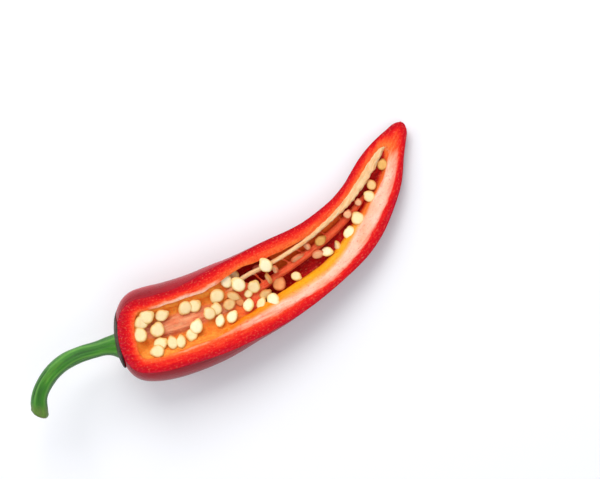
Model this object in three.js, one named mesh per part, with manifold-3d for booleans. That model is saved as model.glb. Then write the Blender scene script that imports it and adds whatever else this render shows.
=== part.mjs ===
// A red chilli pepper cut lengthwise, lying on its rounded back with the cut face up.
//
// Every piece is made in the pod's own frame and then laid down. In the pod's frame the cut face is the
// plane z = 0, the flesh is below it, and the pod runs from its calyx near x = 0 to its tip near x = 101.
// A place on the pod is given as along (mm down its bent middle line), across (mm to the left of that
// line) and depth (mm below the cut face). All sizes are in millimetres.

import * as THREE from 'three';
import { mergeVertices } from 'three/addons/utils/BufferGeometryUtils.js';
import Module from 'manifold-3d';

const wasm = await Module();
wasm.setup();

// ---- Driving dimensions ----------------------------------------------------------------------------

const GAP = 0.3; // kept between pieces that touch

// The pod's middle line on the cut face, as [x, y].
const SPINE = [
  [0.9, 0.9], [12, -5], [23, -9], [35, -11.6], [48, -13.5],
  [61, -14.5], [73, -13.2], [84, -8.6], [93, -3.3], [101.1, 0.8],
];

// The whole fruit: half its width, as [along, mm], before the two ends are rounded off.
const POD_HALF_WIDTH = [
  [0, 11.7], [8, 13], [14, 13.3], [30, 13.1], [38, 12.4], [50, 11.5],
  [62, 10.1], [72, 9.3], [80, 8.3], [90, 6.8], [97, 4.7], [106, 2.3],
];
const POD_FLATNESS = 0.86; // its height over its width
const POD_BASE = { at: 0.3, length: 7, power: 2.8 };
const POD_TIP = { at: 106.2, length: 2.6, power: 2 };

// How far the cut runs above the pod's middle, as a part of its half height: [along, part].
const CUT_ABOVE_MIDDLE = [[0, 0.61], [18, 0.61], [30, 0.47], [40, 0.28], [50, 0.13], [62, 0.04], [76, 0], [106, 0]];

// The seed cavity: half its width, how far it lies to the left, and the flesh left under it.
const CAVITY_HALF_WIDTH = [
  [4, 9.6], [12, 10.2], [20, 9.8], [30, 8.2], [40, 7.7], [48, 6.7],
  [58, 6.1], [66, 5.4], [76, 3.8], [88, 3], [94, 2.4], [99, 1.6],
];
const CAVITY_SHIFT = [[4, 0], [20, 0.5], [28, 0.2], [40, 0.9], [52, 0.3], [62, 0.2], [76, 1.6], [99, 0.9]];
const CAVITY_FLOOR = [[4, 2.2], [40, 2.4], [99, 2.8]];
const CAVITY_BASE = { at: 4.2, length: 3.4, power: 2.3 };
const CAVITY_TIP = { at: 98.8, length: 7, power: 2 };

// The seed bearing core. Its spongy bed fills the fat end of the cavity up to BED_TOP below the face and
// thins out towards the tip. [along, part of the cavity's width] and [along, mm to the left].
const BED_TOP = 3.3;
const BED_PART = [[4, 1], [24, 1], [29, 0.8], [35, 0.45], [41, 0.22]];
const BED_SHIFT = [[4, 0], [28, 0], [41, -1]];
const BED_BASE = { at: 4.6, length: 3, power: 2.3 };
const BED_TIP = { at: 42, length: 3, power: 2 };
// Its parts that run on towards the tip, as [along, across, depth, half width, half height].
const RIDGE = [
  [6, 0.4, 4.6, 1.6, 1], [13, 0.6, 3.8, 2.3, 1.5], [20, 0.9, 3.5, 2.5, 1.6],
  [27, 0.8, 4, 1.9, 1.3], [34, -0.6, 4.3, 1.5, 1.2],
];
const STRAND = [
  [28, 1, 4, 1.2, 1], [34, 3.4, 3.2, 0.9, 0.9], [40, 5.4, 2.3, 0.7, 0.8], [50, 5.1, 1.3, 0.65, 0.8],
  [60, 5.3, 0.9, 0.7, 0.8], [70, 5.2, 0.8, 0.8, 0.9], [78, 4.4, 0.8, 1.1, 1], [85, 3.3, 0.9, 1.3, 1.2],
  [91, 2.8, 0.9, 1.2, 1.2], [96.5, 1.8, 0.8, 0.9, 0.9],
];
const RIB = [
  [30, -0.3, 5, 1.6, 1.6], [38, -0.6, 4.9, 1.4, 1.5], [46, 0.9, 4.6, 1.2, 1.4], [56, 1.7, 4.3, 1.2, 1.4],
  [66, 2.2, 4.1, 1.2, 1.3], [76, 2, 3.8, 1.1, 1.2], [84, 1, 3.5, 0.8, 0.9],
];

// Seeds: a flat round disc with a small beak. Each row is a seed: along, across, depth of its middle,
// length, width, then in degrees its turn on the face, and how far it leans along and across the pod.
const SEED_THICKNESS = 1.25;
const SEED_BEAK = 0.28; // how far the beak stands out, as a part of half the seed's length
const SEEDS_AT_CALYX = [
  [9.4, 5, 2.25, 3.6, 3.4, 20, 10, 10],
  [7.4, 2.9, 1.55, 3.9, 3.6, 200, -12, 4],
  [6.9, -0.9, 1.8, 4.1, 3.5, 100, 0, -14],
  [13.6, 4.7, 1.9, 4.1, 3.3, 15, 6, 10],
  [11.7, 0.7, 1.5, 4, 3.6, 75, -8, 0],
  [11.9, -3.2, 1.35, 4, 3.1, 25, 8, -10],
  [9.9, -5.9, 2.1, 3.8, 3.2, 190, 4, -6],
];
const SEEDS_ON_BED = [
  [15.1, -4.1, 1.7, 3.3, 2.8, 95, -10, -8],
  [17.9, -4.5, 1.7, 3.4, 2.9, 80, 12, -8],
  [21, 4.7, 1.35, 4, 3.6, 215, -8, 12],
  [24.4, 4, 1.95, 3.7, 3.3, 20, 14, 4],
  [20.8, -3.7, 1.6, 3.2, 3, 240, -6, -12],
  [23.4, -2.3, 1.35, 3.8, 3.3, 55, 10, -6],
  [26.7, 0.6, 1.35, 3.7, 3.4, 105, -10, 6],
  [29.6, 1.3, 2, 3.3, 3, 60, 10, 8],
  [31.3, 4.7, 1.5, 4.1, 3.5, 210, 0, 12],
  [28.3, -3, 1.75, 3.6, 2.6, 60, 4, -22],
  [31.6, -3.6, 1.75, 3.5, 3, 35, 8, -14],
];
const SEEDS_AT_CHAMBERS = [
  [35.2, 2.2, 1.6, 3.7, 3, -45, 12, 24],
  [33.2, -0.2, 2.05, 3.6, 3, 10, -8, 18],
  [37.4, -0.5, 2, 2.8, 2.4, 80, 16, 24],
  [34.9, 5.9, 1.75, 3.8, 3, 80, 4, 6],
  [38, 6.6, 3.7, 3.2, 2.8, 70, 10, 0],
  [38.5, 4.6, 0.5, 3.9, 3.5, 110, -6, 4],
  [41.9, 1.9, 1.9, 3.4, 3.1, 40, 12, 14],
  [39, 0.7, 2.55, 2.6, 2.2, 10, 0, 10],
  [47.6, 5.4, -0.45, 3.9, 3.3, 95, 6, 4],
  [37.8, -3.1, 2, 3.7, 2.9, 62, 6, -30],
  [41.3, -3.4, 2.4, 3.5, 2.8, 40, 10, -30],
  [43.4, -1, 3.1, 3.6, 2.8, 12, 0, 48],
  [44.6, -4.2, 1.6, 3.9, 3.1, -70, 10, -16],
  [48.8, -1.6, 3.5, 3.5, 3.3, 30, 12, -14],
  [46, 2.9, 2, 3.4, 2.6, 70, 70, 14],
  [49.4, 3.1, 1.8, 2.4, 2, 75, 50, 8],
  [44.6, 5.7, 4, 3.2, 2.8, 0, 6, 24],
  [53.6, -2.4, 2.9, 3.5, 2.8, -60, 10, -36],
];
const SEEDS_TOWARDS_TIP = [
  [56, 3.6, 2.7, 3.5, 2.4, -8, 0, 62],
  [60.4, 3.7, 2.2, 2.4, 2.2, 80, 50, 10],
  [64.9, 2.9, 1.5, 3.2, 2.6, 8, 8, 26],
  [61.4, -0.8, 3.1, 3.4, 2.9, -18, 12, 30],
  [64.9, -1.5, 2.7, 3.3, 2.8, -50, 14, -34],
  [68.2, -1, 3.1, 3, 2.7, 60, 50, -40],
  [72.2, -0.5, 1.8, 3.7, 3.3, 40, 8, -16],
  [77.6, -0.2, 1.3, 3.5, 3.3, 70, -8, -8],
  [75.8, 2.6, 1.35, 2.5, 2.3, 20, 8, 10],
  [80.9, 1.4, 1.7, 2.1, 2, 40, 16, 8],
  [83.8, 0, 1.3, 3, 2.8, 80, 10, -6],
  [87.5, 0, 1.4, 2.8, 2.4, 60, 12, -8],
  [92.2, 0.2, 1.3, 2.5, 1.8, 10, 6, 0],
];

// The calyx: a thin saucer over the pod's base, seen from the side as a narrow collar.
const CALYX = { radius: 9.2, thickness: 1, rimThickness: 0.75, sides: 32, steps: 6 };

// The stem's middle line as [x, y, z] and its radius as [part of its length, mm].
const STEM = [
  [-0.85, 0.65, -6.2], [-2.9, 1.7, -6], [-6.3, 2.5, -5.6], [-11, 4, -5.2], [-15.5, 4.8, -5],
  [-19.6, 4.5, -5], [-23.7, 2.9, -5.2], [-27, 0.4, -5.6], [-29.7, -3.2, -6.2],
];
const STEM_RADIUS = [[0, 3.9], [0.08, 3], [0.2, 2.45], [0.5, 2.3], [0.8, 2.2], [0.95, 2.3], [1, 2.45]];
const STEM_RIDGES = { count: 5, height: 0.05 };

// How the half lies: leaned over to its outer side, and down towards its tip, then set on its back.
const LEAN = THREE.MathUtils.degToRad(2.7);
const PITCH = THREE.MathUtils.degToRad(10.5);

// ---- Curves and rings ------------------------------------------------------------------------------

const spineCurve = new THREE.CatmullRomCurve3(
  SPINE.map(([x, y]) => new THREE.Vector3(x, y, 0)), false, 'catmullrom',
);
const SPINE_LENGTH = spineCurve.getLength();
const UP = new THREE.Vector3(0, 0, 1);

// A smooth value through [place, value] pairs.
function through(pairs, place) {
  let i = 0;
  while (i < pairs.length - 2 && place > pairs[i + 1][0]) i += 1;
  const slope = (k) => {
    const before = pairs[Math.max(k - 1, 0)];
    const after = pairs[Math.min(k + 1, pairs.length - 1)];
    return (after[1] - before[1]) / (after[0] - before[0]);
  };
  const [x0, y0] = pairs[i];
  const [x1, y1] = pairs[i + 1];
  const w = x1 - x0;
  const t = THREE.MathUtils.clamp((place - x0) / w, 0, 1);
  const t2 = t * t;
  const t3 = t2 * t;
  return (2 * t3 - 3 * t2 + 1) * y0 + (t3 - 2 * t2 + t) * w * slope(i)
    + (3 * t2 - 2 * t3) * y1 + (t3 - t2) * w * slope(i + 1);
}

// The part of its full width that a rounded end has at a distance in from its very end.
function roundedEnd(distance, { length, power }) {
  const rest = 1 - Math.min(Math.max(distance / length, 0), 1);
  return Math.pow(1 - Math.pow(rest, power), 1 / power);
}

// Where the pod's middle line is at a distance along it, and which way is left.
function spineAt(along) {
  const u = THREE.MathUtils.clamp(along / SPINE_LENGTH, 0, 1);
  const ahead = spineCurve.getTangentAt(u);
  const point = spineCurve.getPointAt(u).addScaledVector(ahead, along - u * SPINE_LENGTH);
  return { point, ahead, left: new THREE.Vector3().crossVectors(UP, ahead) };
}

// The point at a place on the pod.
function place(along, across, depth) {
  const { point, left } = spineAt(along);
  return point.addScaledVector(left, across).addScaledVector(UP, -depth);
}

// An oval ring around the pod's middle line.
function podRing(along, shift, depth, halfWidth, halfHeight, sides) {
  return Array.from({ length: sides }, (_, i) => {
    const angle = (2 * Math.PI * i) / sides;
    return place(along, shift + halfWidth * Math.cos(angle), depth - halfHeight * Math.sin(angle));
  });
}

// Places from one end to the other, closer together where both ends round off.
function stations(from, to, count) {
  return Array.from({ length: count }, (_, i) => {
    const even = (i + 0.5) / count;
    const crowded = 0.5 - 0.5 * Math.cos(Math.PI * even);
    return from + (to - from) * (0.45 * even + 0.55 * crowded);
  });
}

// ---- Solids ----------------------------------------------------------------------------------------

// A closed skin over rings of points that all turn the same way, with a fan over each end.
function loft(rings, firstTip, lastTip) {
  const sides = rings[0].length;
  const points = [...rings.flat(), firstTip, lastTip];
  const first = points.length - 2;
  const last = points.length - 1;
  const index = [];
  for (let j = 0; j < sides; j += 1) {
    const k = (j + 1) % sides;
    for (let i = 0; i < rings.length - 1; i += 1) {
      const a = i * sides;
      const b = a + sides;
      index.push(a + j, a + k, b + k, a + j, b + k, b + j);
    }
    const end = (rings.length - 1) * sides;
    index.push(first, k, j, last, end + j, end + k);
  }
  const geometry = new THREE.BufferGeometry().setFromPoints(points);
  geometry.setIndex(index);
  return geometry;
}

// A tube of oval section along points, each with its half width and half height.
function tube(points, halfWidths, halfHeights, steps, sides, end) {
  const curve = new THREE.CatmullRomCurve3(points, false, 'catmullrom');
  const length = curve.getLength();
  const parts = points.map((_, i) => i / (points.length - 1));
  const width = parts.map((part, i) => [part, halfWidths[i]]);
  const height = parts.map((part, i) => [part, halfHeights[i]]);
  const rings = stations(0, 1, steps).map((t) => {
    const middle = curve.getPoint(t);
    const ahead = curve.getTangent(t);
    const side = new THREE.Vector3().crossVectors(UP, ahead).normalize();
    const up = new THREE.Vector3().crossVectors(ahead, side);
    const round = roundedEnd(Math.min(t, 1 - t) * length, end);
    return Array.from({ length: sides }, (_, j) => {
      const angle = (2 * Math.PI * j) / sides;
      return middle.clone()
        .addScaledVector(side, round * through(width, t) * Math.cos(angle))
        .addScaledVector(up, round * through(height, t) * Math.sin(angle));
    });
  });
  return loft(rings, points[0], points[points.length - 1]);
}

function toSolid(geometry) {
  const bare = geometry.clone();
  bare.deleteAttribute('normal');
  bare.deleteAttribute('uv');
  const merged = mergeVertices(bare, 1e-5);
  return new wasm.Manifold(new wasm.Mesh({
    numProp: 3,
    vertProperties: new Float32Array(merged.attributes.position.array),
    triVerts: new Uint32Array(merged.index.array),
  }));
}

function toGeometry(solid) {
  const { vertProperties, triVerts } = solid.getMesh();
  const geometry = new THREE.BufferGeometry();
  geometry.setAttribute('position', new THREE.BufferAttribute(new Float32Array(vertProperties), 3));
  geometry.setIndex(new THREE.BufferAttribute(new Uint32Array(triVerts), 1));
  geometry.computeVertexNormals();
  return geometry;
}

// Everything above the cut face.
function cutAway() {
  return toSolid(new THREE.BoxGeometry(200, 100, 60).translate(40, 0, 30));
}

// ---- The pod ---------------------------------------------------------------------------------------

const podHalfHeight = (along) => POD_FLATNESS * through(POD_HALF_WIDTH, along);
const middleDepth = (along) => through(CUT_ABOVE_MIDDLE, along) * podHalfHeight(along);

function wholeFruit() {
  const rings = stations(POD_BASE.at, POD_TIP.at, 42).map((along) => {
    const round = roundedEnd(along - POD_BASE.at, POD_BASE) * roundedEnd(POD_TIP.at - along, POD_TIP);
    const half = through(POD_HALF_WIDTH, along) * round;
    return podRing(along, 0, middleDepth(along), half, half * POD_FLATNESS, 38);
  });
  return loft(rings, place(POD_BASE.at, 0, middleDepth(POD_BASE.at)), place(POD_TIP.at, 0, 0));
}

// The seed cavity, drawn in by a margin on every side.
function cavity(margin) {
  const from = CAVITY_BASE.at + margin;
  const to = CAVITY_TIP.at - margin;
  const rings = stations(from, to, 36).map((along) => {
    const round = roundedEnd(along - from, CAVITY_BASE) * roundedEnd(to - along, CAVITY_TIP);
    const half = (through(CAVITY_HALF_WIDTH, along) - margin) * round;
    const high = (podHalfHeight(along) - through(CAVITY_FLOOR, along) - margin) * round;
    return podRing(along, through(CAVITY_SHIFT, along), middleDepth(along), half, high, 28);
  });
  return loft(rings, place(from, 0, middleDepth(from)), place(to, through(CAVITY_SHIFT, to), 0));
}

function pod() {
  return toGeometry(toSolid(wholeFruit()).subtract(toSolid(cavity(0))).subtract(cutAway()));
}

// ---- The seed bearing core -------------------------------------------------------------------------

function bed() {
  const rings = stations(BED_BASE.at, BED_TIP.at, 14).map((along) => {
    const round = roundedEnd(along - BED_BASE.at, BED_BASE) * roundedEnd(BED_TIP.at - along, BED_TIP);
    const half = through(CAVITY_HALF_WIDTH, along) * through(BED_PART, along) * round;
    const high = (podHalfHeight(along) - through(CAVITY_FLOOR, along)) * round;
    const shift = through(CAVITY_SHIFT, along) + through(BED_SHIFT, along);
    return podRing(along, shift, middleDepth(along), half, high, 24);
  });
  const ends = [BED_BASE.at, BED_TIP.at].map((along) => place(along, 0, middleDepth(along)));
  const above = toSolid(new THREE.BoxGeometry(200, 100, 60).translate(40, 0, 30 - BED_TOP));
  return toSolid(loft(rings, ends[0], ends[1])).subtract(above);
}

function runner(rows) {
  const points = rows.map(([along, across, depth]) => place(along, across, depth));
  const steps = 3 * rows.length;
  const end = { length: 1.5, power: 2 };
  return toSolid(tube(points, rows.map((row) => row[3]), rows.map((row) => row[4]), steps, 10, end));
}

function placenta() {
  const grown = bed().add(runner(RIDGE)).add(runner(STRAND)).add(runner(RIB));
  return toGeometry(grown.intersect(toSolid(cavity(GAP + 0.05))).subtract(cutAway()));
}

// ---- Seeds -----------------------------------------------------------------------------------------

function seed([along, across, depth, length, width, turn, leanAlong, leanAcross]) {
  const geometry = new THREE.SphereGeometry(1, 10, 6).rotateX(Math.PI / 2);
  const position = geometry.attributes.position;
  for (let i = 0; i < position.count; i += 1) {
    const x = position.getX(i);
    position.setX(i, x + SEED_BEAK * Math.pow(Math.max(x, 0), 4));
  }
  geometry.scale(length / (2 + SEED_BEAK), width / 2, SEED_THICKNESS / 2);
  const { ahead, left } = spineAt(along);
  const laid = new THREE.Matrix4().makeBasis(ahead, left, UP);
  const radians = [leanAcross, -leanAlong, turn].map(THREE.MathUtils.degToRad);
  const leaned = new THREE.Matrix4().makeRotationFromEuler(new THREE.Euler(radians[0], radians[1], 0));
  const turned = new THREE.Matrix4().makeRotationZ(radians[2]);
  geometry.applyMatrix4(laid.multiply(leaned).multiply(turned));
  const middle = place(along, across, depth);
  return toGeometry(toSolid(geometry.translate(middle.x, middle.y, middle.z)));
}

// ---- Calyx and stem --------------------------------------------------------------------------------

// How far along the pod its base surface is, at a radius from its middle.
function baseAt(radius) {
  const part = Math.pow(radius / POD_HALF_WIDTH[0][1], POD_BASE.power);
  return POD_BASE.at + POD_BASE.length * (1 - Math.pow(1 - part, 1 / POD_BASE.power));
}

function calyx() {
  const radii = Array.from({ length: CALYX.steps }, (_, i) => (CALYX.radius * (i + 1)) / CALYX.steps);
  const thickness = (radius) => THREE.MathUtils.lerp(
    CALYX.thickness, CALYX.rimThickness, radius / CALYX.radius);
  const rings = [];
  const depth = middleDepth(0);
  const ring = (along, radius) => podRing(along, 0, depth, radius, radius * POD_FLATNESS, CALYX.sides);
  for (const radius of radii) rings.push(ring(baseAt(radius) - GAP - thickness(radius), radius));
  for (const radius of radii.toReversed()) rings.push(ring(baseAt(radius) - GAP, radius * 0.985));
  const saucer = loft(rings, place(POD_BASE.at - GAP - CALYX.thickness, 0, depth),
    place(POD_BASE.at - GAP, 0, depth));
  return toGeometry(toSolid(saucer).subtract(cutAway()));
}

function stem() {
  const points = STEM.map((point) => new THREE.Vector3(...point));
  const curve = new THREE.CatmullRomCurve3(points, false, 'catmullrom');
  const rings = Array.from({ length: 26 }, (_, i) => {
    const t = i / 25;
    const middle = curve.getPointAt(t);
    const ahead = curve.getTangentAt(t);
    const side = new THREE.Vector3().crossVectors(UP, ahead).normalize();
    const up = new THREE.Vector3().crossVectors(ahead, side);
    return Array.from({ length: 20 }, (_, j) => {
      const angle = (2 * Math.PI * j) / 20;
      const ridge = 1 + STEM_RIDGES.height * Math.cos(STEM_RIDGES.count * angle);
      const radius = through(STEM_RADIUS, t) * ridge;
      return middle.clone().addScaledVector(side, radius * Math.cos(angle))
        .addScaledVector(up, radius * Math.sin(angle));
    });
  });
  return toGeometry(toSolid(loft(rings, points[0], points[points.length - 1])));
}

// ---- The whole object ------------------------------------------------------------------------------

const FINISH = {
  pod: new THREE.MeshStandardMaterial({ color: 0xa8051f, roughness: 0.25 }),
  placenta: new THREE.MeshStandardMaterial({ color: 0xf3a45c, roughness: 0.5 }),
  seed: new THREE.MeshStandardMaterial({ color: 0xfbe8bd, roughness: 0.45 }),
  calyx: new THREE.MeshStandardMaterial({ color: 0x5a5f50, roughness: 0.7 }),
  stem: new THREE.MeshStandardMaterial({ color: 0x3c7d28, roughness: 0.5 }),
};

function piece(name, geometry, finish) {
  const mesh = new THREE.Mesh(geometry, finish);
  mesh.name = name;
  return mesh;
}

const half = new THREE.Group();
half.add(piece('pod', pod(), FINISH.pod));
half.add(piece('placenta', placenta(), FINISH.placenta));
half.add(piece('calyx', calyx(), FINISH.calyx));
half.add(piece('stem', stem(), FINISH.stem));
const seedRows = [...SEEDS_AT_CALYX, ...SEEDS_ON_BED, ...SEEDS_AT_CHAMBERS, ...SEEDS_TOWARDS_TIP];
seedRows.forEach((row, i) => {
  half.add(piece(`seed_${String(i + 1).padStart(2, '0')}`, seed(row), FINISH.seed));
});
half.rotation.set(LEAN, PITCH, 0);

const chilli = new THREE.Group();
chilli.add(half);
chilli.updateMatrixWorld(true);
const box = new THREE.Box3().setFromObject(chilli, true);
half.position.set(-(box.min.x + box.max.x) / 2, -(box.min.y + box.max.y) / 2, -box.min.z);
chilli.updateMatrixWorld(true);

export default chilli;
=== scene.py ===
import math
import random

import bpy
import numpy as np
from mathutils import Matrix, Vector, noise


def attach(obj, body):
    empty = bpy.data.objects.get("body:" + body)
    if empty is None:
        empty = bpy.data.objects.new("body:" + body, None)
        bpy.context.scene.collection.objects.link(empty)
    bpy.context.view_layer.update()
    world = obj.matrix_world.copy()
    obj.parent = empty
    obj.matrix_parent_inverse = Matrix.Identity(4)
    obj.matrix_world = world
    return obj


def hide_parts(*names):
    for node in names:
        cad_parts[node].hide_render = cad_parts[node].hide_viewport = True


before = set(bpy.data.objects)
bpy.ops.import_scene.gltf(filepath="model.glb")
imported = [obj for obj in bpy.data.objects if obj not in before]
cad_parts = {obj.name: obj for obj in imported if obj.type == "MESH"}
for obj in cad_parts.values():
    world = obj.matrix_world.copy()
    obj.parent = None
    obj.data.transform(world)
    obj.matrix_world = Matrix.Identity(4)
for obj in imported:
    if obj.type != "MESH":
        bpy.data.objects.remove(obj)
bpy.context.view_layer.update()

# A red chilli pepper cut lengthwise, lying on its rounded back with the cut face up.
#
# The pieces are shaped in the pod's own frame, in millimetres: the cut face is the plane z = 0, the flesh
# is below it, and a place on the pod is along (down its bent middle line), across (to the left of that
# line) and depth (below the cut face). Each finished piece is then laid down and brought to metres.

# ---- Driving dimensions, in millimetres ------------------------------------------------------------------

POD_ORIGIN = Vector((-33.5994, 7.4164, 21.9655))  # where the pod's own frame sits in the whole model's
LEAN = math.radians(2.7)
PITCH = math.radians(10.5)
TURN = Matrix.Rotation(LEAN, 4, "X") @ Matrix.Rotation(PITCH, 4, "Y")
METRES = Matrix.Scale(0.001, 4)
LAY_DOWN = METRES @ Matrix.Translation(POD_ORIGIN) @ TURN

SPINE = [
    (0.9, 0.9), (12, -5), (23, -9), (35, -11.6), (48, -13.5),
    (61, -14.5), (73, -13.2), (84, -8.6), (93, -3.3), (101.1, 0.8),
]

# Half widths and other measures down the pod, as (along, value).
POD_HALF_WIDTH = [
    (0, 11.7), (8, 13), (14, 13.3), (30, 13.1), (38, 12.4), (50, 11.5),
    (62, 10.1), (72, 9.3), (80, 8.3), (90, 6.8), (97, 4.8), (106, 1.9),
]
POD_FLATNESS = 0.86
POD_BASE = {"at": -0.7, "length": 7.8, "power": 2.7}
# How much wider the pod is on its right side by its fat end, and on its left side by a knuckle near its tip.
FAT_SIDE = [(0, 0.55), (10, 1), (20, 0.6), (32, 0)]
KNUCKLE = [(84, 0), (92, 0.7), (96, 0.65), (103, 0)]
POD_TIP = {"at": 106.2, "length": 2.6, "power": 2}
CUT_ABOVE_MIDDLE = [
    (0, 0.61), (18, 0.61), (30, 0.47), (40, 0.28), (50, 0.13), (62, 0.04), (76, 0), (106, 0),
]
CAVITY_HALF_WIDTH = [
    (4, 9.6), (12, 10.2), (20, 9.8), (30, 8.2), (40, 7.7), (48, 6.7),
    (58, 6.1), (66, 5.4), (76, 3.8), (88, 3), (94, 2.4), (99, 1.6),
]
CAVITY_SHIFT = [(4, 0), (20, 0.5), (28, 0.2), (40, 0.9), (52, 0.3), (62, 0.2), (76, 1.6), (99, 0.9)]
CAVITY_FLOOR = [(4, 2.2), (40, 2.4), (99, 2.8)]
CAVITY_BASE = {"at": 3.9, "length": 3.4, "power": 2.3}
CAVITY_TIP = {"at": 98.8, "length": 7, "power": 2}
FAT_MOUTH = 0.9  # how much of the fat side's extra width the cavity's mouth has too

# The sloping shelf of flesh inside the right edge of the cavity, painted gold, partly as the flesh's own tone
# and partly as painted light: its width down the pod.
SHELF_WIDTH = [(20, 0.6), (30, 1.6), (40, 2.3), (50, 2.8), (62, 2.4), (72, 1.6), (80, 0.8), (90, 0.3)]

BED_TOP = 3.3
BED_PART = [(4, 1), (27, 1), (33, 0.9), (38, 0.62), (42, 0.3)]
BED_SHIFT = [(4, 0), (30, 0), (36, -0.3), (42, -1.3)]
BED_BASE = {"at": 3.9, "length": 3, "power": 2.3}
BED_TIP = {"at": 43, "length": 3, "power": 2}
BED_EXTRA = 0.25  # how far the bed runs into the wall on each side
BED_TO_RIGHT = 0.45  # how much of the fat side's extra width the bed moves over
BED_RISE = 2.5  # how far the bed's edges rise to the rim

# The cords of the seed bearing core, as (along, across, depth, half width, half height).
RIDGE = [
    (6, 0.4, 4.6, 1.6, 1), (13, 0.6, 3.8, 2.3, 1.5), (20, 0.9, 3.5, 2.5, 1.6),
    (27, 0.8, 4, 1.9, 1.3), (34, -0.6, 4.3, 1.5, 1.2),
]
STRAND = [
    (28, 1, 4, 1.2, 1), (34, 3.4, 3.2, 0.9, 0.9), (40, 5.4, 2.3, 0.7, 0.8), (50, 5.1, 1.3, 0.65, 0.8),
    (60, 5.3, 0.9, 0.7, 0.8), (70, 5.5, 0.8, 0.85, 0.9), (78, 5, 0.8, 1.25, 1), (85, 4, 0.9, 1.5, 1.2),
    (91, 3.2, 0.9, 1.45, 1.2), (96, 2.3, 0.8, 1, 0.9), (101, 1.4, 0.7, 0.6, 0.6),
]
RIB = [
    (30, -0.3, 5, 1.6, 1.6), (38, -0.6, 4.9, 1.4, 1.5), (46, 0.9, 4.6, 1.2, 1.4), (56, 1.7, 4.3, 1.2, 1.4),
    (66, 2.2, 4.1, 1.2, 1.3), (76, 2, 3.8, 1.1, 1.2), (84, 1, 3.5, 0.8, 0.9),
]
# Thin webs of flesh from the strand down to the rib, as where they leave the one and reach the other.
WEBS = [(43, 44.5), (52, 54), (57, 58.5), (66, 67), (74, 73), (81, 80)]

CREAM, TAN, PAINTED_SHADE_ORANGE, PEACH, OLIVE, PAINTED_LIT, PAINTED_SHADE_DIM = range(7)  # how a seed is coloured: the bright one with painted light, the dim and orange ones with painted shade and painted orange reflection
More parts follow.
